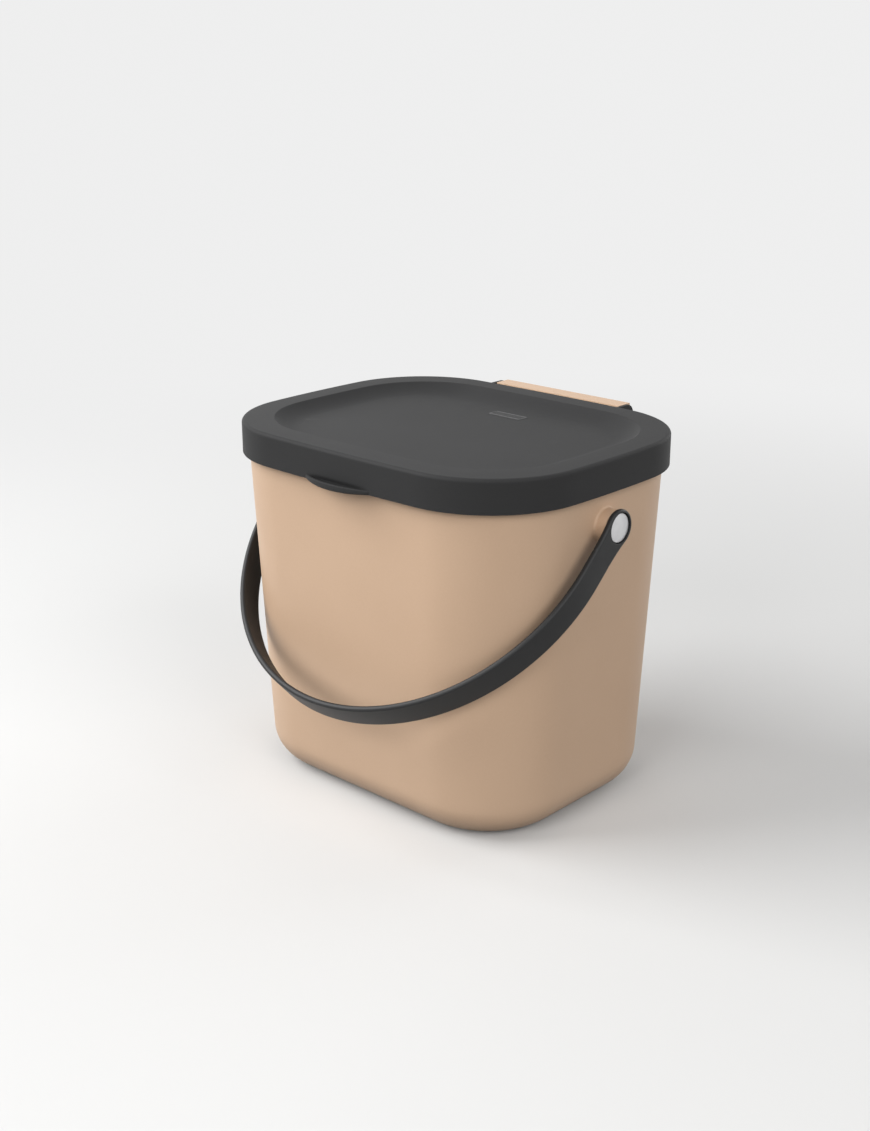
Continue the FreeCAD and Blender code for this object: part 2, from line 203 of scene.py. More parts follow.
# %% Shader expressions
class Wire:
    """One output socket of a material's tree; arithmetic on it adds Math nodes."""

    def __init__(self, tree, socket=None):
        self.tree = tree
        self.socket = socket

    def add(self, kind, settings=None, sockets=None, output=0):
        """A node of a kind: its settings are set first, then its sockets get their values or links."""
        node = self.tree.nodes.new("ShaderNode" + kind)
        for key, value in (settings or {}).items():
            setattr(node, key, value)
        for key, value in (sockets or {}).items():
            if isinstance(value, Wire):
                self.tree.links.new(value.socket, node.inputs[key])
            else:
                node.inputs[key].default_value = value
        return Wire(self.tree, node.outputs[output])

    def math(self, operation, *values):
        """One Math node on numbers or wires."""
        return self.add("Math", {"operation": operation}, dict(enumerate(values)))

    def __add__(self, other):
        return self.math("ADD", self, other)

    __radd__ = __add__

    def __sub__(self, other):
        return self.math("SUBTRACT", self, other)

    def __rsub__(self, other):
        return self.math("SUBTRACT", other, self)

    def __mul__(self, other):
        return self.math("MULTIPLY", self, other)

    __rmul__ = __mul__

    def between(self, low, high):
        """0 below low, 1 above high, and a smooth step between them."""
        return self.add("MapRange", {"interpolation_type": "SMOOTHSTEP"},
                        {"Value": self, "From Min": low, "From Max": high})

    def mix(self, start, end):
        """A colour that goes from start to end as this value goes from 0 to 1."""
        return self.add("Mix", {"data_type": "RGBA"}, {0: self, 6: start, 7: end}, output=2)


def new_material(name, roughness, **constants):
    """A material with one Principled shader, and a wire to start its expressions from."""
    material = bpy.data.materials.new(name)
    material.use_nodes = True
    shader = material.node_tree.nodes["Principled BSDF"]
    shader.inputs["Roughness"].default_value = roughness
    for key, value in constants.items():
        shader.inputs[key.replace("_", " ")].default_value = value
    return material, shader, Wire(material.node_tree)


def feed(node, **wires):
    """Links wires to a node's sockets, named with _ for a space."""
    for key, wire in wires.items():
        wire.tree.links.new(wire.socket, node.inputs[key.replace("_", " ")])


print("shader helpers ready")

# %% [markdown]
# The plastics are satin mouldings. What tells them from flat paint is small: a fine spark-eroded grain
# from the mould, a slow drift of tone where the pigment flowed, and handling marks that shine a little
# more. All of it reads Object coordinates in metres, so a grain of 0.3 mm is a noise scale near 3000.

# %% Moulded plastic
FLOW_SCALE, SPECK_SCALE, GRAIN_SCALE = 14.0, 900.0, 2600.0
GRAIN_DEPTH = 0.06
RUB_STRETCH = (70.0, 70.0, 900.0)


def moulded_plastic(name, tone, deep, grain, roughness, gleam, painted_highlight=None):
    """Satin plastic between two tones, with mould grain as bump and handling marks in the gloss.

    The last argument gives two heights and a paler third tone, a painted highlight on raised edges, which
    takes over from the lower height to the upper one.
    """
    material, shader, wire = new_material(name, roughness, Specular_IOR_Level=gleam)
    place = wire.add("TexCoord", output="Object")
    flow = wire.add("TexNoise", {}, {"Vector": place, "Scale": FLOW_SCALE, "Detail": 3.0, "Roughness": 0.55})
    speck = wire.add("TexNoise", {}, {"Vector": place, "Scale": SPECK_SCALE, "Detail": 2.0})
    fine = wire.add("TexNoise", {}, {"Vector": place, "Scale": GRAIN_SCALE, "Detail": 3.0, "Roughness": 0.6})
    colour = (0.7 * flow + 0.3 * speck).between(0.3, 0.7).mix(deep, tone)
    # A paler tone above a height: a painted highlight where raised edges catch the light.
    if painted_highlight:
        low, high, pale = painted_highlight
        height = wire.add("SeparateXYZ", {}, {"Vector": place}, output="Z")
        colour = height.between(low, high).mix(colour, pale)
    stretched = wire.add("Mapping", {}, {"Vector": place, "Scale": RUB_STRETCH})
    rub = wire.add("TexNoise", {}, {"Vector": stretched, "Scale": 1.0, "Detail": 4.0, "Roughness": 0.65})
    handled = rub.between(0.58, 0.78) * flow.between(0.45, 0.7)
    gloss = roughness + 0.06 * (fine - 0.5) - 0.07 * handled
    relief = {"Strength": grain, "Distance": GRAIN_DEPTH * MM, "Height": fine + 0.4 * speck}
    feed(shader, Base_Color=colour, Roughness=gloss, Normal=wire.add("Bump", {}, relief))
    return material


beige_plastic = moulded_plastic(
    "beige_plastic", tone=(0.640, 0.448, 0.308, 1), deep=(0.612, 0.425, 0.290, 1),
    grain=0.25, roughness=0.47, gleam=0.40)
lid_plastic = moulded_plastic(
    "anthracite_plastic", tone=(0.037, 0.037, 0.0375, 1), deep=(0.033, 0.033, 0.0335, 1),
    grain=0.35, roughness=0.58, gleam=0.10)
handle_plastic = moulded_plastic(
    "strap_plastic", tone=(0.0165, 0.0168, 0.0175, 1), deep=(0.0145, 0.0148, 0.0155, 1),
    grain=0.25, roughness=0.46, gleam=0.30)
print("plastics", [plastic.name for plastic in (beige_plastic, lid_plastic, handle_plastic)])

# %% [markdown]
# The rivets are satin aluminium. Their heads are turned, so the fine lines are rings about the pivot:
# the distance from the pivot line feeds a one-dimensional noise, for the bump and for the gloss.

# %% Satin rivet metal
RING_SCALE, DULL_SCALE, RING_DEPTH = 5200.0, 160.0, 0.02


def turned_metal(name, tone, dull_tone, roughness):
    """Satin metal with turning rings, by the distance sqrt(y^2 + z^2) from the pivot, and dull patches."""
    material, shader, wire = new_material(name, roughness, Metallic=1.0)
    place = wire.add("TexCoord", output="Object")
    from_pivot = {"Vector": place, "Location": (0, 0, -PIVOT_Z * MM), "Scale": (0, 1, 1)}
    about_pivot = wire.add("Mapping", {}, from_pivot)
    radius = wire.add("VectorMath", {"operation": "LENGTH"}, {0: about_pivot}, output="Value")
    turning = {"W": radius * RING_SCALE, "Scale": 1.0, "Detail": 2.0}
    rings = wire.add("TexNoise", {"noise_dimensions": "1D"}, turning)
    dull = wire.add("TexNoise", {}, {"Vector": place, "Scale": DULL_SCALE, "Detail": 2.0})
    bump = wire.add("Bump", {}, {"Strength": 0.12, "Distance": RING_DEPTH * MM, "Height": rings})
    gloss = roughness - 0.04 + 0.06 * dull + 0.05 * rings
    feed(shader, Base_Color=dull.between(0.3, 0.7).mix(tone, dull_tone), Roughness=gloss, Normal=bump)
    return material


rivet_metal = turned_metal("satin_aluminium", (0.67, 0.67, 0.68, 1), (0.62, 0.62, 0.63, 1), 0.36)
print("metal", rivet_metal.name)

# %% [markdown]
# The tub is one wall carried round a rectangle with round corners. Its sides lean in by 2 degrees and
# its ends by 2.5, so each ring's size follows from its height. A ring is four numbers: half width, half
# depth, corner radius and height.

# %% Tub outline at any height
TUB_HEIGHT, TUB_WALL, TUB_FLOOR = 205.6, 2.0, 2.4
TUB_HALF_WIDTH, TUB_HALF_DEPTH = 107.9, 86.3
SIDE_LEAN, END_LEAN = math.tan(math.radians(2.0)), math.tan(math.radians(2.5))
FOOT_RADIUS, RIM_ROUND = 20.5, 0.7
FOOT_CORNER, RIM_CORNER = 49.5, 52.5


def half_width(z):
    """Outside half width: it shrinks by the side lean for each millimetre below the rim."""
    return TUB_HALF_WIDTH - (TUB_HEIGHT - z) * SIDE_LEAN


def half_depth(z):
    """Outside half depth, in the same way."""
    return TUB_HALF_DEPTH - (TUB_HEIGHT - z) * END_LEAN


def corner_radius(z):
    """Outside corner radius: it grows evenly from the foot to the rim."""
    return FOOT_CORNER + (RIM_CORNER - FOOT_CORNER) * z / TUB_HEIGHT


def footed(half, lean, z, level, wall, radius):
    """Half size with a round foot: the arc that touches the floor and the leaning wall, then the wall."""
    slant = math.atan(lean)
    centre = half(level) - wall + radius * lean - radius / math.cos(slant)
    arc = centre + np.sqrt(np.maximum(radius ** 2 - (level + radius - z) ** 2, 0))
    return np.where(z < level + radius * (1 - math.sin(slant)), arc, half(z) - wall)


def wall_rings(z, level, wall, radius):
    """Rings on one side of the wall: on its outside, or inside it by the wall's thickness."""
    width = footed(half_width, SIDE_LEAN, z, level, wall, radius)
    depth = footed(half_depth, END_LEAN, z, level, wall, radius)
    corner = corner_radius(z) - wall - (half_width(z) - wall - width)
    return np.stack([width, depth, corner, z])


def floor_rings(ring, shares):
    """A ring shrunk towards the middle by shares, at its own height."""
    return np.stack([ring[0] * shares, ring[1] * shares, ring[2] * shares, np.full(len(shares), ring[3])])


def round_cornered(rings, corner_steps=32, side_steps=14):
    """Points of round-cornered rectangles: corner centre + radius (cos, sin), and even steps between."""
    width, depth, corner, z = rings
    angle = quarter(corner_steps + 1) + np.arange(4)[:, None] * np.pi / 2
    sign_x, sign_y = np.array([1, -1, -1, 1]), np.array([1, 1, -1, -1])
    x = (sign_x * (width - corner)[:, None])[:, :, None] + corner[:, None, None] * np.cos(angle)
    y = (sign_y * (depth - corner)[:, None])[:, :, None] + corner[:, None, None] * np.sin(angle)
    flat = np.stack([x, y], axis=-1)
    share = np.linspace(0, 1, side_steps + 2)[1:-1, None]
    ends, starts = flat[:, :, -1:], np.roll(flat[:, :, :1], -1, axis=1)
    flat = np.concatenate([flat, ends + (starts - ends) * share], axis=2).reshape(len(z), -1, 2)
    return with_height(flat, z)


print("tub at the rim", half_width(TUB_HEIGHT) * 2, "x", half_depth(TUB_HEIGHT) * 2, "mm")

# %% [markdown]
# The wall's profile starts in the middle of the inside floor, climbs the inside wall, turns over the rim
# on two small rounds and comes down to the middle of the foot. Rows are close where it bends.

# %% Tub shell
INSIDE_FOOT = FOOT_RADIUS - TUB_WALL
WALL_START, WALL_ROWS = FOOT_RADIUS + 1.0, 26
climb = 1 - np.cos(quarter(17)[:-1])
inside_foot = wall_rings(TUB_FLOOR + INSIDE_FOOT * climb, TUB_FLOOR, TUB_WALL, INSIDE_FOOT)
wall_z = eased(WALL_START, TUB_HEIGHT - RIM_ROUND, WALL_ROWS)
inside_wall = wall_rings(wall_z, TUB_FLOOR, TUB_WALL, INSIDE_FOOT)
outside_wall = wall_rings(wall_z[::-1], 0.0, 0.0, FOOT_RADIUS)
outside_foot = wall_rings(FOOT_RADIUS * climb[::-1], 0.0, 0.0, FOOT_RADIUS)
over = quarter(7)
inside_inset, outside_inset = TUB_WALL - RIM_ROUND * (1 - np.cos(over)), RIM_ROUND * (1 - np.sin(over))
inset = np.concatenate([inside_inset, outside_inset])
rim_z = TUB_HEIGHT - RIM_ROUND + RIM_ROUND * np.concatenate([np.sin(over), np.cos(over)])
rim = np.stack([half_width(rim_z) - inset, half_depth(rim_z) - inset, corner_radius(rim_z) - inset, rim_z])
to_edge = np.linspace(0, 1, 9)[:-1]
inside_floor = floor_rings(inside_foot[:, 0], to_edge)
underside = floor_rings(outside_foot[:, -1], to_edge[::-1])
tub_groups = [inside_floor, inside_foot, inside_wall, rim, outside_wall, outside_foot, underside]
tub_rings = np.concatenate(tub_groups, axis=1)
tub_skin = skin(round_cornered(tub_rings))
print("tub rings", tub_rings.shape[1])

# %% [markdown]
# Each side carries a round boss that holds the handle clear of the lid's skirt, with a fillet at its
# root, and a flat pad inside for the rivet's washer. Both are turned about the pivot line. The boss's
# root has to follow the leaning wall, so its foot is measured from the wall's face at each height.

# %% Bosses and inside pads
BAIL_INSIDE, STRAP_THICK, PLAY = 113.9, 3.4, 0.15
SHANK, BORE = 1.9, 1.95
BOSS_FACE = BAIL_INSIDE - PLAY
BOSS_RADIUS, BOSS_ROOT, BOSS_EDGE, BOSS_SINK = 9.0, 1.2, 0.3, 1.0
BOSS_MIDDLE, BORE_SINK = 6.0, 0.8
PAD_FACE, PAD_RADIUS, PAD_EDGE, PAD_THICK, PAD_BORE = 103.36, 9.0, 0.3, 2.0, 1.5
TURNED_STEPS = 72


def boss_rows(radius, lift, share, face):
    """Rows of the boss: radius, lift from the wall, and the share of the way from there to a face."""
    return np.stack(np.broadcast_arrays(radius, lift, share, face), axis=-1)


def boss_skin():
    """Boss: from inside the wall up a round root, a straight side and a round edge, and down a blind bore."""
    bend = quarter(9)
    shoulder = BOSS_FACE - BOSS_EDGE
    root_radius, root_lift = BOSS_RADIUS + BOSS_ROOT * (1 - np.sin(bend)), BOSS_ROOT * (1 - np.cos(bend))
    edge_radius, edge_face = BOSS_RADIUS - BOSS_EDGE * (1 - np.cos(bend)), shoulder + BOSS_EDGE * np.sin(bend)
    rows = np.concatenate([boss_rows([0.0, BOSS_RADIUS + BOSS_ROOT], -BOSS_SINK, 0, shoulder),
                           boss_rows(root_radius, root_lift, 0, shoulder),
                           boss_rows(BOSS_RADIUS, BOSS_ROOT, [0.1, 0.5, 0.9], shoulder),
                           boss_rows(edge_radius, BOSS_ROOT, 1, edge_face),
                           boss_rows([BOSS_MIDDLE, BORE], BOSS_ROOT, 1, BOSS_FACE),
                           boss_rows([BORE, 0.0], -BORE_SINK, 0, BOSS_FACE)])
    radius, lift, share, face = rows.T[:, :, None]
    angle = around(TURNED_STEPS)
    z = PIVOT_Z + radius * np.sin(angle)
    wall_x = half_width(z) + lift
    x = wall_x + (face - wall_x) * share
    return skin(np.stack([x, radius * np.cos(angle), z], axis=-1))


def lathe(profile):
    """A profile of (x, radius) turned about the pivot line."""
    x, radius = np.asarray(profile, float).T[:, :, None]
    angle = around(TURNED_STEPS)
    turned = np.broadcast_arrays(x, radius * np.cos(angle), PIVOT_Z + radius * np.sin(angle))
    return skin(np.stack(turned, axis=-1))


EDGE_SHARES = ((0, 1), (1 / 3, 1 / 3), (1, 0))
pad_edge = [(PAD_FACE + PAD_EDGE * drop, PAD_RADIUS - PAD_EDGE * trim) for drop, trim in EDGE_SHARES]
pad = lathe([(PAD_FACE + PAD_BORE, 0.0), (PAD_FACE + PAD_BORE, BORE), (PAD_FACE, BORE), *pad_edge,
             (PAD_FACE + PAD_THICK, PAD_RADIUS), (PAD_FACE + PAD_THICK, 0.0)])
boss = boss_skin()
tub_parts = [tub_skin, boss, left_of(boss), pad, left_of(pad)]
tub = make_piece("tub", tub_parts, "bin", beige_plastic)
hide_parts("bin_body")

# %% [markdown]
# The hinge's pieces have flat ends and straight edges. On a real moulding no edge is quite sharp, and a
# small bevel is the quickest way to give such edges their soft light.

# %% Bevelled pieces
BEVEL_ANGLE, BEVEL_SEGMENTS = math.radians(40.0), 3


def turn_outward(work):
    """Faces turned outwards, for skins with many-cornered ends."""
    bmesh.ops.recalc_face_normals(work, faces=work.faces)


def make_bevelled(name, parts, body, material, width):
    """Skins with flat ends as one piece, with a small bevel on its sharp edges."""
    starts = np.cumsum([0] + [len(part[0]) for part in parts])
    points = np.concatenate([part[0] for part in parts])
    faces = [[corner + start for corner in face] for part, start in zip(parts, starts) for face in part[1]]
    piece = placed(name, merged_mesh(name, points, faces, turn_outward), body, material)
    bevel = piece.modifiers.new("edge", "BEVEL")
    bevel.width = width * MM
    bevel.segments = BEVEL_SEGMENTS
    bevel.limit_method = "ANGLE"
    bevel.angle_limit = BEVEL_ANGLE
    bevel.harden_normals = True


print("bevel", BEVEL_SEGMENTS, "segments")

# %% [markdown]
# Behind the rim the tub carries the hinge bracket: a hollow shelf whose raised strip fills the notch in
# the lid, with end walls that take the lid's pins and ribs between them. It could be a shelf with boxes
# stuck in, but then faces would cross. So it is one skin along X that steps between two sections of as
# many points, hollow and solid.

# %% Hinge bracket
LID_TOP = 208.0
STRIP_FRONT, STRIP_REAR, STRIP_HALF = 91.7, 102.6, 46.5
SHELF_TOP, SHELF_UNDER, REAR_LOW, ROOT_LOW, BRACKET_WALL = 205.55, 203.4, 191.0, 178.6, 2.2
ROOT_SINK, REAR_STEP, FRONT_STEP = 0.9, 2.0, 0.6
END_WALL, RIB_HALF, RIB_PLACES = 6.5, 1.1, (-20.0, 0.0, 20.0)
BRACKET_BEVEL = 0.5


def bracket_sections():
    """The same ten (y, z) points twice: hollow under the shelf, and solid down to the sloping underside."""
    root_y = [half_depth(z) - ROOT_SINK for z in (SHELF_TOP, SHELF_UNDER, ROOT_LOW)]
    inner_front, inner_rear = STRIP_FRONT + BRACKET_WALL, STRIP_REAR - BRACKET_WALL
    low_y = np.array([inner_rear, inner_rear - REAR_STEP, inner_front + FRONT_STEP, root_y[2]])
    low_z = np.interp(low_y, [root_y[2], STRIP_REAR], [ROOT_LOW, REAR_LOW])
    outline = [(root_y[0], SHELF_TOP), (STRIP_FRONT, SHELF_TOP), (STRIP_FRONT, LID_TOP),
               (STRIP_REAR, LID_TOP), (STRIP_REAR, REAR_LOW)]
    ceiling = LID_TOP - BRACKET_WALL
    hollow = [(inner_rear, low_z[0]), (inner_rear, ceiling), (inner_front, ceiling),
              (inner_front, SHELF_UNDER), (root_y[1], SHELF_UNDER)]
    return np.array(outline + hollow), np.concatenate([outline, np.column_stack([low_y, low_z]), hollow[-1:]])


def stepped(hollow, solid, walls):
    """One closed skin along X: solid between each pair of wall faces, hollow between the walls."""
    places = np.repeat(np.ravel(walls), 2)[1:-1]
    shapes = np.stack([solid if i % 4 in (0, 1) else hollow for i in range(len(places))])
    rings = np.concatenate([np.broadcast_to(places[:, None, None], shapes.shape[:2] + (1,)), shapes], axis=-1)
    points, count = rings.reshape(-1, 3), len(hollow)
    sides = quads(len(rings), count).tolist()
    return points, sides + [list(range(count)), list(range(len(points) - count, len(points)))]


rib_walls = [(place - RIB_HALF, place + RIB_HALF) for place in RIB_PLACES]
bracket_walls = [(-STRIP_HALF, END_WALL - STRIP_HALF), *rib_walls, (STRIP_HALF - END_WALL, STRIP_HALF)]
bracket_parts = [stepped(*bracket_sections(), bracket_walls)]
make_bevelled("hinge_bracket", bracket_parts, "bin", beige_plastic, BRACKET_BEVEL)

# %% [markdown]
# The lid's outline isn't a plain rectangle: its sides bow outwards a little, so it is eight arcs that
# run smoothly into each other. A corner's centre is where a circle about the side's centre and one
# about the end's centre meet, each smaller by the corner radius. Rows of such rings make the whole lid.
# Two columns stand at each end of the rear notch, so that the skirt can end there with an upright edge.

# %% Bowed outline of the lid
LID_HALF_WIDTH, LID_HALF_DEPTH, LID_CORNER = 112.8, 91.2, 58.6
SIDE_BOW, END_BOW = 700.0, 1650.0
NOTCH_HALF = 46.8
CORNER_STEPS, SIDE_STEPS, BESIDE_STEPS, NOTCH_STEPS = 36, 20, 5, 13


def arc_points(centre_x, centre_y, radius, angle):
    """Points at centre + radius (cos, sin), one row of angles for each centre."""
    x = centre_x[:, None] + radius[:, None] * np.cos(angle)
    y = centre_y[:, None] + radius[:, None] * np.sin(angle)
    return np.stack([x, y], axis=-1)


def rear_places(reach):
    """X places along the rear end, from reach over the notch's doubled end to the other side."""
    outer = reach[:, None] + (NOTCH_HALF - reach)[:, None] * np.linspace(0, 1, BESIDE_STEPS + 1)[:-1]
    inner = np.concatenate([[NOTCH_HALF, NOTCH_HALF], np.linspace(NOTCH_HALF, 0, NOTCH_STEPS + 1)[1:-1]])
    half = np.concatenate([outer, np.broadcast_to(inner, (len(reach), len(inner)))], axis=1)
    return np.concatenate([half, np.zeros((len(reach), 1)), -half[:, :0:-1], -reach[:, None]], axis=1)


def bowed(rings):
    """Points of eight-arc rings; a column is half width, half depth, inset, corner, height and shift."""
    width, depth, inset, corner, z, shift = rings
    side, end = SIDE_BOW - inset, END_BOW - inset
    side_x, end_y = width - side, depth - end
    span = np.hypot(side_x, end_y)
    along = ((side - corner) ** 2 - (end - corner) ** 2 + span ** 2) / (2 * span)
    across = np.sqrt((side - corner) ** 2 - along ** 2)
    corner_x = side_x - along * side_x / span - across * end_y / span
    corner_y = along * end_y / span - across * side_x / span
    side_angle = np.arctan2(corner_y, corner_x - side_x)
    end_angle = np.arctan2(corner_y - end_y, corner_x)
    swing = np.linspace(-1, 1, SIDE_STEPS, endpoint=False)
    right = arc_points(side_x, np.zeros_like(side_x), side, side_angle[:, None] * swing)
    step = np.linspace(0, 1, CORNER_STEPS, endpoint=False)
    sweep = (end_angle - side_angle)[:, None] * step
    bend = arc_points(corner_x, corner_y, corner, side_angle[:, None] + sweep)
    rear_x = rear_places(end * np.cos(end_angle))
    rear = np.stack([rear_x, end_y[:, None] + np.sqrt(end[:, None] ** 2 - rear_x ** 2)], axis=-1)
    back = arc_points(corner_x, corner_y, corner, end_angle[:, None] - sweep) * np.array([-1, 1])
    half_ring = np.concatenate([right, bend, rear, back[:, 1:]], axis=1)
    ring = np.concatenate([half_ring, -half_ring], axis=1)
    return with_height(ring + np.stack([np.zeros_like(shift), shift], axis=-1)[:, None], z)


def lid_ring(inset, z):
    """Rings inside the lid's outside by an inset, at heights."""
    inset, z = np.broadcast_arrays(np.asarray(inset, float), np.asarray(z, float))
    return np.stack([LID_HALF_WIDTH - inset, LID_HALF_DEPTH - inset, inset, LID_CORNER - inset, z, 0 * z])


print("lid", 2 * LID_HALF_WIDTH, "x", 2 * LID_HALF_DEPTH, "mm")

# %% [markdown]
# The dish is a flat floor with a hollow slope round it: an arc that leaves the floor smoothly and meets
# the border in a small round. Its rings are the lid's, moved a little to the rear. They are measured from
# the upright wall that the slope's arc would run into if it went on.

# %% Rings of the dish
DISH_DEPTH, DISH_RUN, DISH_RIM, DISH_CORNER = 5.5, 15.0, 1.0, 50.0
SIDE_BORDER, FRONT_BORDER, REAR_BORDER = 15.0, 16.4, 14.5
SLOPE_RADIUS = (DISH_RUN ** 2 + DISH_DEPTH ** 2) / (2 * DISH_DEPTH)
DISH_GROW = SLOPE_RADIUS - DISH_RUN
DISH_SHIFT = (FRONT_BORDER - REAR_BORDER) / 2


def dish_ring(inset, z):
    """Rings inside the upright wall that the dish's hollow slope would run into, at heights."""
    width = LID_HALF_WIDTH - SIDE_BORDER + DISH_GROW - inset
    depth = LID_HALF_DEPTH - (FRONT_BORDER + REAR_BORDER) / 2 + DISH_GROW - inset
    corner = DISH_CORNER + DISH_GROW - inset
    return np.stack([width, depth, LID_HALF_WIDTH - width, corner, z, np.full_like(z, DISH_SHIFT)])


def slope_rows(radius, level, grow, angle):
    """The hollow slope: height level + radius (1 - cos), and inset radius - radius sin - grow."""
    heights = level + radius * (1 - np.cos(angle))
    rise = heights - level
    return dish_ring(radius - np.sqrt(radius ** 2 - (radius - rise) ** 2) - grow, heights)


print("dish slope radius", round(SLOPE_RADIUS, 2), "mm")

# %% [markdown]
# The lid's rows run from the dish's floor up the slope, over the rim and the border, round the top edge,
# down the skirt and up its inside, and back under the dish. The skirt's own heights come in the next step.

# %% Lid rows
THICK, SKIRT_WALL, EDGE = 2.2, 1.6, 2.0
OUTER_ROWS, INNER_ROWS = 27, 10
BORDER_STEPS, CEILING_STEP, CEILING_INSET = np.array([6.0, 1.0, 0.3]), 0.4, 6.0
floor_z, under_z = LID_TOP - DISH_DEPTH, LID_TOP - THICK
rim_centre = DISH_DEPTH - DISH_RIM
rim_reach = math.sqrt((SLOPE_RADIUS + DISH_RIM) ** 2 - (SLOPE_RADIUS - rim_centre) ** 2)
rim_start = math.atan2(SLOPE_RADIUS - rim_centre, -rim_reach)
rim_turn = np.linspace(rim_start, np.pi / 2, 8)
rim_heights = floor_z + rim_centre + DISH_RIM * np.sin(rim_turn)
rim_rows = dish_ring(SLOPE_RADIUS - rim_reach - DISH_RIM * np.cos(rim_turn), rim_heights)
slope_end = math.acos(1 - (rim_heights[0] - floor_z) / SLOPE_RADIUS)
top_slope = slope_rows(SLOPE_RADIUS, floor_z, 0.0, np.linspace(0, slope_end, 18))
border = lid_ring(EDGE + BORDER_STEPS, LID_TOP)
edge_turn = quarter(9)
edge_rows = lid_ring(EDGE - EDGE * np.sin(edge_turn), LID_TOP - EDGE + EDGE * np.cos(edge_turn))
skirt_share = np.concatenate([eased(0, 1, OUTER_ROWS + 1)[1:], eased(1, 0, INNER_ROWS)])
skirt_inset = np.concatenate([np.zeros(OUTER_ROWS), np.full(INNER_ROWS, SKIRT_WALL)])
skirt_rows = lid_ring(skirt_inset, LID_TOP - EDGE)
ceiling_rows = lid_ring([SKIRT_WALL, SKIRT_WALL + CEILING_STEP, CEILING_INSET], under_z)
under_radius = SLOPE_RADIUS + THICK
under_turn = np.linspace(math.acos(1 - DISH_DEPTH / under_radius), 0, 14)
under_slope = slope_rows(under_radius, floor_z - THICK, THICK, under_turn)
groups = [top_slope, rim_rows, border, edge_rows, skirt_rows, ceiling_rows, under_slope]
lid_points = bowed(np.concatenate(groups, axis=1))
row_ends = np.cumsum([group.shape[1] for group in groups])
rim_end, edge_end, skirt_end, ceiling_end = row_ends[[1, 3, 4, 5]]
print("lid rows", len(lid_points), "columns", lid_points.shape[1])

# %% [markdown]
# Two things break the lid's even rows at the rear. The skirt is shallower there, so that it clears the
# tub as the lid swings up. Between the hinge ears it is missing: there the top plate ends on a round cut
# about the hinge line.

# %% Skirt depth and rear notch
SKIRT_BOTTOM, REAR_BOTTOM, REAR_FROM, REAR_BLEND = 189.6, 198.0, 74.0, 5.0
NOTCH_GAP, TINY = 0.4, 1e-6
outside_x, outside_y = lid_points[edge_end, :, 0], lid_points[edge_end - 1, :, 1]
rear_share = np.clip((outside_y - REAR_FROM) / REAR_BLEND, 0, 1)
bottom = SKIRT_BOTTOM + (REAR_BOTTOM - SKIRT_BOTTOM) * rear_share
top_z = np.where(skirt_inset == 0, LID_TOP - EDGE, under_z)[:, None]
lid_points[edge_end:skirt_end, :, 2] = top_z + (bottom - top_z) * skirt_share[:, None]
notch_columns = (np.abs(outside_x) <= NOTCH_HALF + TINY) & (outside_y > 0)
doubled = np.flatnonzero(np.diff(outside_x) == 0)
notch_columns[[doubled[0], doubled[-1] + 1]] = False
swing = math.hypot(HINGE_Y - STRIP_FRONT, LID_TOP - HINGE_Z) + NOTCH_GAP
cut = lid_points[rim_end:ceiling_end]
cut_z = np.maximum(cut[..., 2], under_z)
cut_y = np.minimum(cut[..., 1], HINGE_Y - np.sqrt(swing ** 2 - (cut_z - HINGE_Z) ** 2))
cut[..., 1] = np.where(notch_columns, cut_y, cut[..., 1])
cut[..., 2] = np.where(notch_columns, cut_z, cut[..., 2])
print("notch columns", int(notch_columns.sum()))

# %% [markdown]
# At the front a finger lifts the lid by a crescent lip, and the skirt behind the lip is a little hollow,
# to let the fingertip in. The hollow is an ellipse across and a smooth step downwards.

# %% Hollow behind the lip, and the lid's skin
HOLLOW_DEPTH, HOLLOW_TOP, HOLLOW_RUN, HOLLOW_HALF = 1.1, 193.2, 2.6, 21.5


def to_middle(ring, shares):
    """A ring shrunk towards its middle point by shares."""
    middle = np.array([0.0, DISH_SHIFT, ring[0, 2]])
    return middle + (ring - middle) * shares[:, None, None]


outer = lid_points[edge_end:edge_end + OUTER_ROWS]
across = np.sqrt(np.clip(1 - (outer[..., 0] / HOLLOW_HALF) ** 2, 0, 1)) * (outer[..., 1] < 0)
down = np.clip((HOLLOW_TOP - outer[..., 2]) / HOLLOW_RUN, 0, 1)
outer[..., 1] += HOLLOW_DEPTH * across * down ** 2 * (3 - 2 * down)
dish_floor = to_middle(lid_points[0], to_edge)
ceiling = to_middle(lid_points[-1], to_edge[::-1])
lid_skin = skin(np.concatenate([dish_floor, lid_points, ceiling]))
print("lid skin", len(lid_skin[0]), "points")

# %% [markdown]
# The lip itself is a crescent with a rim and a trough for the fingertip. It could be cut from a plate,
# but its edges taper, so a section of changing height is carried from end to end. Both ends run into
# the skirt's wall.

# %% Finger lip
LIP_HALF, LIP_REACH, LIP_WALL, LIP_FLOOR = 23.5, 6.0, 1.6, 1.0
LIP_LOW, LIP_LOW_END, LIP_TOP, LIP_TOP_END = 188.7, 189.5, 192.2, 191.7
LIP_ROUND, LIP_RIM, TROUGH_EDGE = 0.8, 0.5, 0.4


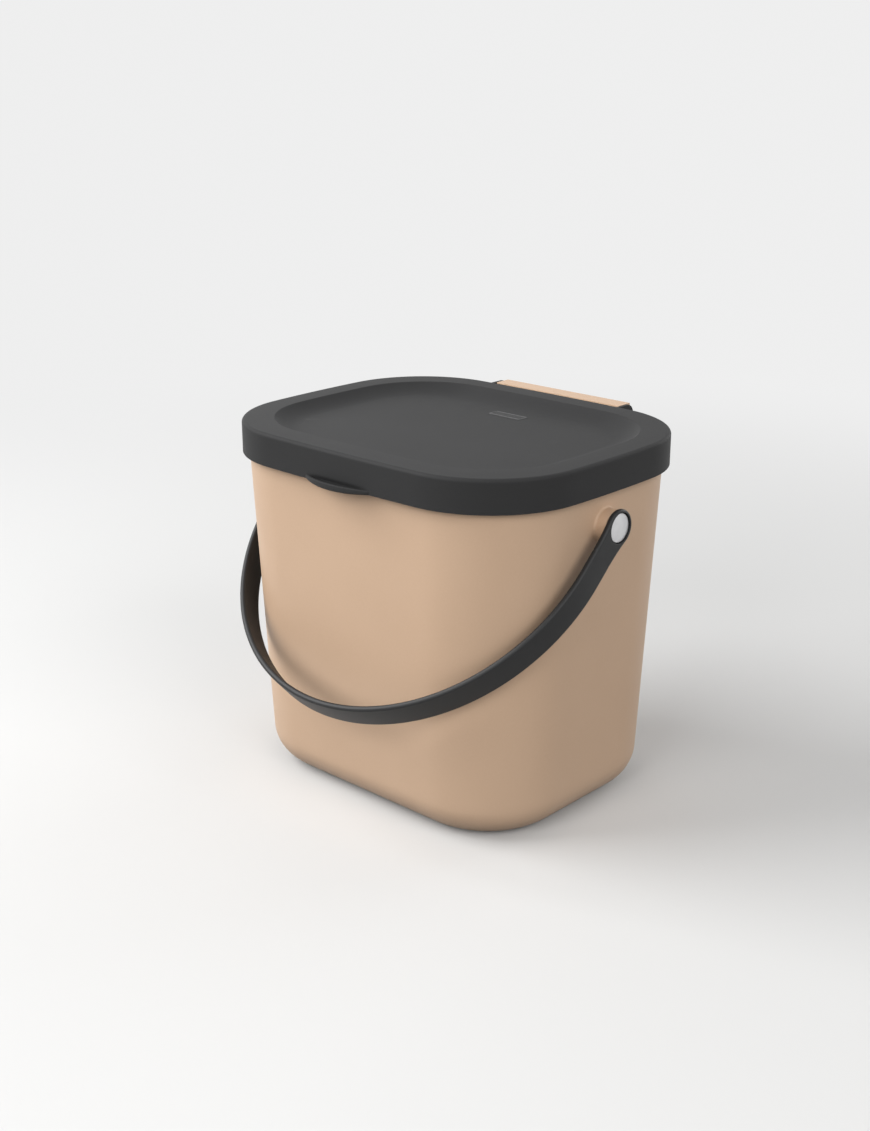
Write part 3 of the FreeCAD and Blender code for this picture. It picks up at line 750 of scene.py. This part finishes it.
def finger_lip():
    """Crescent of a large circle: round front, rim and trough; its edges close in with x^2 to the ends."""
    bow = (LIP_HALF ** 2 + LIP_REACH ** 2) / (2 * LIP_REACH)
    x = eased(-LIP_HALF, LIP_HALF, 61)[:, None]
    to_end = (x / LIP_HALF) ** 2
    low, top = LIP_LOW + (LIP_LOW_END - LIP_LOW) * to_end, LIP_TOP + (LIP_TOP_END - LIP_TOP) * to_end
    front = -LID_HALF_DEPTH - LIP_REACH + bow - np.sqrt(bow ** 2 - x ** 2)
    face = -LID_HALF_DEPTH + x ** 2 / (2 * END_BOW)
    back = np.full_like(x, -LID_HALF_DEPTH + SKIRT_WALL)
    low_turn = -np.pi / 2 - quarter(7)
    low_y, low_z = front + LIP_ROUND * (1 + np.cos(low_turn)), low + LIP_ROUND * (1 + np.sin(low_turn))
    rim_turn = np.linspace(np.pi, 0, 9)
    rim_side = np.sign(np.round(np.cos(rim_turn), 6))
    rim_y = front + LIP_WALL / 2 + LIP_RIM * np.cos(rim_turn) + (LIP_WALL / 2 - LIP_RIM) * rim_side
    rim_z = top - LIP_RIM * (1 - np.sin(rim_turn))
    trough, floor = front + LIP_WALL, low + LIP_FLOOR
    foot = trough + TROUGH_EDGE
    y = [back, low_y, rim_y, trough, np.minimum(foot, back), np.minimum(np.maximum(face, foot), back), back]
    z = [low, low_z, rim_z, floor + TROUGH_EDGE, floor, floor, floor]
    y, z = np.concatenate(y, axis=1), np.concatenate(z, axis=1)
    return skin(capped(np.stack([x + 0 * y, y, z], axis=-1)))


lid = make_piece("lid_shell", [lid_skin, finger_lip()], "lid", lid_plastic)
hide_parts("lid")

# %% [markdown]
# A small bare plate with a raised frame sits on the dish's floor. It comes out of the same mould, from a
# smoother patch of the tool, so it shines a little more than the grained lid round it. The frame's crest
# is painted paler, a painted highlight where the raised frame catches the light; the finish reads the
# height above the floor for that.

# %% Bare plate on the dish
PLATE_HALF_WIDTH, PLATE_HALF_DEPTH, PLATE_PLACE = 12.0, 4.0, (0.0, 47.4, 0.0)
PLATE_RAISE, PLATE_FIELD, PLATE_FRAME, PLATE_CORNER, PLATE_ROOT = 0.45, 0.12, 1.3, 1.3, 0.3
FIELD_INSETS = (2.0, PLATE_HALF_DEPTH - 0.05)
CREST_FROM, CREST_FULL, LEAST_CORNER = 0.15, 0.3, 0.01


def bare_plate():
    """Round-cornered rings inset step by step: over a frame that is half a sine wave, to a bare field."""
    share = np.linspace(0, 1, 11)
    inset = np.concatenate([[0.0], PLATE_FRAME * share, FIELD_INSETS])
    ridge = PLATE_FIELD * share + (PLATE_RAISE - PLATE_FIELD / 2) * np.sin(np.pi * share)
    lift = np.concatenate([[-PLATE_ROOT], ridge, [PLATE_FIELD, PLATE_FIELD]])
    corner = np.maximum(PLATE_CORNER - inset, LEAST_CORNER)
    rings = np.stack([PLATE_HALF_WIDTH - inset, PLATE_HALF_DEPTH - inset, corner, floor_z + lift])
    return skin(capped(round_cornered(rings, corner_steps=6, side_steps=4)) + np.array(PLATE_PLACE))


# The frame's crest is painted paler: a painted highlight where it catches the light.
crest_highlight = ((floor_z + CREST_FROM) * MM, (floor_z + CREST_FULL) * MM, (0.105, 0.105, 0.106, 1))
plate_plastic = moulded_plastic(
    "plate_plastic", tone=(0.040, 0.040, 0.0405, 1), deep=(0.036, 0.036, 0.0365, 1),
    grain=0.12, roughness=0.52, gleam=0.14, painted_highlight=crest_highlight)
make_piece("lid_plate", [bare_plate()], "lid", plate_plastic)

# %% [markdown]
# The lid clips on with two thin ears that reach back past the ends of the strip. Seen from the side an
# ear is a plate with a round rear corner that ends in a disc about the hinge pin. Ears and pins are plain
# sections drawn out along X, and a bevel softens their edges.

# %% Hinge ears with their pins
EAR_RADIUS, EAR_THICK, EAR_FRONT, EAR_DROP, EAR_BEVEL = 5.5, 2.0, 87.7, 0.02, 0.35
PIN_RADIUS, PIN_LENGTH, PIN_ROOT = 2.0, 4.0, 0.5


def round_section(centre_z, radius, angle):
    """Points (y, z) of an arc above, at or below the hinge line."""
    return np.column_stack([HINGE_Y + radius * np.cos(angle), centre_z + radius * np.sin(angle)])


def drawn_out(section, x_from, x_to):
    """A closed section of (y, z) points drawn out along X, with its two end faces."""
    count = len(section)
    ends = [np.column_stack([np.full(count, x), section]) for x in (x_from, x_to)]
    caps = [list(range(count)), list(range(2 * count - 1, count - 1, -1))]
    return np.concatenate(ends), quads(2, count)[:, ::-1].tolist() + caps


def both_sides(section, x_from, x_to):
    """A section drawn out on the right, and the same on the left."""
    return [drawn_out(section, x_from, x_to), drawn_out(section, -x_to, -x_from)]


rear_corner = round_section(LID_TOP - EAR_RADIUS, EAR_RADIUS, quarter(9)[::-1])
disc = round_section(HINGE_Z, EAR_RADIUS, np.linspace(0, -np.pi, 17))
ear_section = np.concatenate([[(EAR_FRONT, LID_TOP - EAR_DROP)], rear_corner, disc, [(EAR_FRONT, HINGE_Z)]])
pin_section = round_section(HINGE_Z, PIN_RADIUS, around(24)[::-1])
ear_parts = both_sides(ear_section, NOTCH_HALF, NOTCH_HALF + EAR_THICK)
ear_parts += both_sides(pin_section, NOTCH_HALF - PIN_LENGTH, NOTCH_HALF + PIN_ROOT)
make_bevelled("hinge_ears", ear_parts, "lid", lid_plastic, EAR_BEVEL)

# %% [markdown]
# The handle is a flat strap bent into a half circle on two straight legs. Its section, a rectangle with
# rounded edges, is carried along that path. It is laid out in the handle's own plane, and one function
# hangs it from the pivot at its angle of rest.

# %% Strap of the handle
HANG = math.radians(42.533)
STRAP_HALF, STRAP_ROUND, LEG, LEG_START = 8.3, 1.5, 32.3, 20.0
BAIL_MIDDLE = BAIL_INSIDE + STRAP_THICK / 2
LEG_ROWS, ARC_ROWS = 4, 161


def hung(x, reach, side):
    """Points of the handle from its own plane: reach points down along the leg, side across the strap."""
    y = -reach * math.cos(HANG) - side * math.sin(HANG)
    z = PIVOT_Z - reach * math.sin(HANG) + side * math.cos(HANG)
    return np.stack(np.broadcast_arrays(x, y, z), axis=-1)


def strap_skin():
    """Rounded section carried down one leg, round the half circle and up the other leg."""
    leg = np.linspace(LEG_START, LEG, LEG_ROWS, endpoint=False)
    arc = np.linspace(0, np.pi, ARC_ROWS)
    angle = np.concatenate([np.zeros(LEG_ROWS), arc, np.full(LEG_ROWS, np.pi)])[:, None]
    centre = np.concatenate([leg, np.full(ARC_ROWS, LEG), leg[::-1]])[:, None]
    corner = np.arange(4)[:, None] * np.pi / 2 + quarter(8)
    flat_out, flat_side = STRAP_THICK / 2 - STRAP_ROUND, STRAP_HALF - STRAP_ROUND
    out = (np.array([1, -1, -1, 1])[:, None] * flat_out + STRAP_ROUND * np.cos(corner)).reshape(-1)
    side = (np.array([1, 1, -1, -1])[:, None] * flat_side + STRAP_ROUND * np.sin(corner)).reshape(-1)
    radius = BAIL_MIDDLE + out
    return skin(capped(hung(radius * np.cos(angle), centre + radius * np.sin(angle), side + 0 * angle)))


print("strap", 2 * STRAP_HALF, "x", STRAP_THICK, "mm")

# %% [markdown]
# Each end of the strap is a round eyelet with a pocket for the rivet's head. It is a polar grid: rays run
# from the bore out to the edge, wherever that is. The edge is the eyelet's circle, then the long arc of
# the neck that touches it, then the straight leg.

# %% Eyelets and the whole handle
EYELET, NECK = 10.0, 100.0
POCKET, POCKET_FLOOR, POCKET_MIDDLE, POCKET_ROUND, MOUTH = 8.35, -0.55, 5.5, 0.1, 0.25
RAY_LENGTH, RAY_STEPS = 26.0, 5201
FACE_STEPS, EDGE_SHARE, EDGE_STEPS = (0.05, 0.3, 0.55), 0.45, 13


def edge_distance(reach, side):
    """Distance to the edge: from the eyelet's circle, then the neck's arc, then the straight leg."""
    neck_at = math.sqrt((EYELET + NECK) ** 2 - (STRAP_HALF + NECK) ** 2)
    touch = neck_at * EYELET / (EYELET + NECK)
    round_end = EYELET - np.hypot(reach, side)
    hollow = np.hypot(reach - neck_at, np.abs(side) - STRAP_HALF - NECK) - NECK
    return np.where(reach < touch, round_end, np.where(reach < neck_at, hollow, STRAP_HALF - np.abs(side)))


def edge_radius(angle):
    """How far a ray at each angle runs from the pivot to the edge, or to the leg's start."""
    far = np.linspace(0, RAY_LENGTH, RAY_STEPS)[:, None]
    reach = far * np.cos(angle)
    inside = (edge_distance(reach, far * np.sin(angle)) >= 0) & (reach <= LEG_START)
    return np.where(inside, far, 0).max(axis=0)[None, :]


def eyelet_skin():
    """Polar grid about the pivot: pocket floor and wall, face with a round edge, side, back and bore."""
    corner = math.atan2(STRAP_HALF, LEG_START)
    half = np.concatenate([np.linspace(0, corner, 9), np.linspace(corner, np.pi, 60)[1:]])
    angle = np.concatenate([half, -half[-2:0:-1]])[None, :]
    share = np.concatenate([FACE_STEPS, 1 - EDGE_SHARE * (1 - np.sin(quarter(EDGE_STEPS)))])[:, None]
    face_rho = POCKET + MOUTH + (edge_radius(angle) - POCKET - MOUTH) * share
    depth = np.clip(edge_distance(face_rho * np.cos(angle), face_rho * np.sin(angle)), 0, STRAP_ROUND)
    half_thick = STRAP_THICK / 2
    bulge = np.sqrt(np.maximum(STRAP_ROUND ** 2 - (STRAP_ROUND - depth) ** 2, 0))
    face_out = half_thick - STRAP_ROUND + bulge
    turn = quarter(5)
    mouth_rho, mouth_out = POCKET + MOUTH * (1 - np.cos(turn)), half_thick - MOUTH * (1 - np.sin(turn))
    inner_rho = np.concatenate([[BORE, POCKET_MIDDLE, POCKET - POCKET_ROUND, POCKET], mouth_rho])
    inner_out = np.concatenate([[POCKET_FLOOR] * 3, [POCKET_FLOOR + POCKET_ROUND], mouth_out])
    back_rho, back_out = np.array([POCKET, BORE, BORE]), np.array([-half_thick, -half_thick, POCKET_FLOOR])
    full = np.ones_like(angle)
    rho = np.concatenate([inner_rho[:, None] * full, face_rho, face_rho[::-1], back_rho[:, None] * full])
    out = np.concatenate([inner_out[:, None] * full, face_out, -face_out[::-1], back_out[:, None] * full])
    return skin(hung(BAIL_MIDDLE + out, rho * np.cos(angle), rho * np.sin(angle)))


eyelet = eyelet_skin()
handle_parts = [strap_skin(), eyelet, left_of(eyelet)]
handle = make_piece("strap_handle", handle_parts, "handle", handle_plastic)
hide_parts("handle")

# %% [markdown]
# A rivet is a turned profile: a low crowned head with a soft edge in the eyelet's pocket, a shank
# through the eyelet, boss and wall, and a tail formed over a washer inside the tub.

# %% Rivets and washers
HEAD_INSET, HEAD_HEIGHT, HEAD_RADIUS, HEAD_EDGE, HEAD_CROWN = 0.5, 1.6, 8.0, 0.5, 0.4
UNDER_INSET, UNDER_RISE = 0.2, 0.15
WASHER_THICK, WASHER_RADIUS, WASHER_EDGE = 1.0, 6.5, 0.2
TAIL_HEIGHT, TAIL_RADIUS, TAIL_ROUND = 1.6, 4.5, 0.5
head_top = BAIL_INSIDE + STRAP_THICK - HEAD_INSET
head_under = head_top - HEAD_HEIGHT
washer_face = PAD_FACE - WASHER_THICK
tail_end = washer_face - TAIL_HEIGHT


def rivet_profile():
    """(x, radius) from the tail's middle over its round edge, along the shank and over the crowned head."""
    bend, crown = quarter(7), np.linspace(0, 1, 9)[1:]
    tail_turn, rim = bend[::-1], HEAD_RADIUS - HEAD_EDGE
    tail = np.column_stack([tail_end + TAIL_ROUND * (1 - np.sin(tail_turn)),
                            TAIL_RADIUS - TAIL_ROUND * (1 - np.cos(tail_turn))])
    shank = [(washer_face, TAIL_RADIUS), (washer_face, SHANK), (head_under, SHANK),
             (head_under, HEAD_RADIUS - UNDER_INSET), (head_under + UNDER_RISE, HEAD_RADIUS)]
    edge_x = head_top - HEAD_CROWN - HEAD_EDGE * (1 - np.sin(bend))
    edge = np.column_stack([edge_x, rim + HEAD_EDGE * np.cos(bend)])
    dome = np.column_stack([head_top - HEAD_CROWN * (1 - crown) ** 2, rim * (1 - crown)])
    return np.concatenate([[(tail_end, 0.0)], tail, shank, edge, dome])


rivet = lathe(rivet_profile())
washer_flat = WASHER_RADIUS - WASHER_EDGE
washer = lathe([(washer_face, BORE), (washer_face, washer_flat), (washer_face + WASHER_EDGE, WASHER_RADIUS),
                (PAD_FACE - WASHER_EDGE, WASHER_RADIUS), (PAD_FACE, washer_flat), (PAD_FACE, BORE),
                (washer_face, BORE)])
sides = {"right": (rivet, washer), "left": (left_of(rivet), left_of(washer))}
for side, (side_rivet, side_washer) in sides.items():
    rivet_piece = make_piece("rivet_" + side, [side_rivet], "bin", rivet_metal)
    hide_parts("handle_rivet_" + side)
    washer_piece = make_piece("washer_" + side, [side_washer], "bin", rivet_metal)
    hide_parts("rivet_washer_" + side)

# %% [markdown]
# The stage is a plain pale floor under soft studio light. The world gives an even glow. The backdrop is
# almost white where the camera, a reflection or a clear surface sees it, and stays out of the light that
# bounces. So the background can be pale with no more light on the object.

# %% Rays that see the backdrop
GLOW, BACKDROP = 0.28, 0.86


def seeing_rays(wire):
    """1 for rays of the camera, of reflections and of clear surfaces, and 0 for light that bounces."""
    camera_ray = wire.add("LightPath", output="Is Camera Ray")
    outputs = camera_ray.socket.node.outputs
    glossy_ray = Wire(wire.tree, outputs["Is Glossy Ray"])
    clear_ray = Wire(wire.tree, outputs["Is Transmission Ray"])
    return wire.math("MAXIMUM", camera_ray, wire.math("MAXIMUM", glossy_ray, clear_ray))


world = bpy.data.worlds.new("studio")
world.use_nodes = True
bpy.context.scene.world = world
sky = world.node_tree.nodes["Background"]
sky.inputs["Color"].default_value = (1, 1, 1, 1)
feed(sky, Strength=GLOW + (BACKDROP - GLOW) * seeing_rays(Wire(world.node_tree)))
bpy.context.scene.view_settings.view_transform = "Standard"
print("glow", GLOW, "backdrop", BACKDROP)

# %% [markdown]
# The floor keeps the object's shadow close by and fades into the backdrop further out, so no horizon
# shows. For light that bounces it is a dark warm tone, or the foot of the tub would glow.

# %% Floor
FLOOR_HALF, FADE_START, FADE_END, FLOOR_ROUGHNESS = 6.0, 0.3, 1.1, 0.85
FLOOR_SEEN, FLOOR_BOUNCE = (0.70, 0.70, 0.695, 1), (0.05, 0.046, 0.042, 1)


def plain_floor():
    """A level square: pale where it is seen, dark for bounced light, and fading far out into the backdrop."""
    corners = [(-1, -1), (1, -1), (1, 1), (-1, 1)]
    mesh = bpy.data.meshes.new("floor")
    mesh.from_pydata([(x * FLOOR_HALF, y * FLOOR_HALF, 0) for x, y in corners], [], [(0, 1, 2, 3)])
    material, shader, wire = new_material("pale_floor", FLOOR_ROUGHNESS)
    seen = seeing_rays(wire)
    place = wire.add("TexCoord", output="Object")
    distance = wire.add("VectorMath", {"operation": "LENGTH"}, {0: place}, output="Value")
    far = wire.add("Emission", {}, {"Strength": BACKDROP})
    near = Wire(wire.tree, shader.outputs["BSDF"])
    blend = wire.add("MixShader", {}, {0: seen * distance.between(FADE_START, FADE_END), 1: near, 2: far})
    feed(shader, Base_Color=seen.mix(FLOOR_BOUNCE, FLOOR_SEEN))
    feed(wire.tree.nodes["Material Output"], Surface=blend)
    mesh.materials.append(material)
    floor = bpy.data.objects.new("floor", mesh)
    bpy.context.scene.collection.objects.link(floor)
    return floor


plain_floor()
print("floor", 2 * FLOOR_HALF, "m square")

# %% [markdown]
# Five square lamps stand round the object, none of them in the picture. The broad key to the front left
# models the tub's front, a smaller one in front and a broad one to the right open the shaded sides, one
# behind keeps the hinge readable, and a faint one to the left rounds the far corner.

# %% Lamps
LAMP_TARGET = (0.0, 0.0, 0.1)


def soft_lamp(name, place, size, power):
    """A square area lamp that faces the object's middle and stays out of the picture itself."""
    data = bpy.data.lights.new(name, "AREA")
    data.shape = "SQUARE"
    data.size = size
    data.energy = power
    lamp = bpy.data.objects.new(name, data)
    lamp.matrix_world = Matrix.Translation(Vector(place)) @ aim(Vector(place) - Vector(LAMP_TARGET))
    lamp.visible_camera = False
    bpy.context.scene.collection.objects.link(lamp)


soft_lamp("key", place=(-1.2, -0.95, 1.25), size=1.4, power=37.0)
soft_lamp("front", place=(0.25, -1.7, 0.95), size=1.0, power=12.5)
soft_lamp("right", place=(1.75, -0.35, 1.05), size=1.4, power=17.5)
soft_lamp("left", place=(-1.1, 0.55, 0.65), size=0.8, power=1.15)
soft_lamp("rear", place=(0.35, 1.9, 0.8), size=1.2, power=9.0)
print("lamps set")
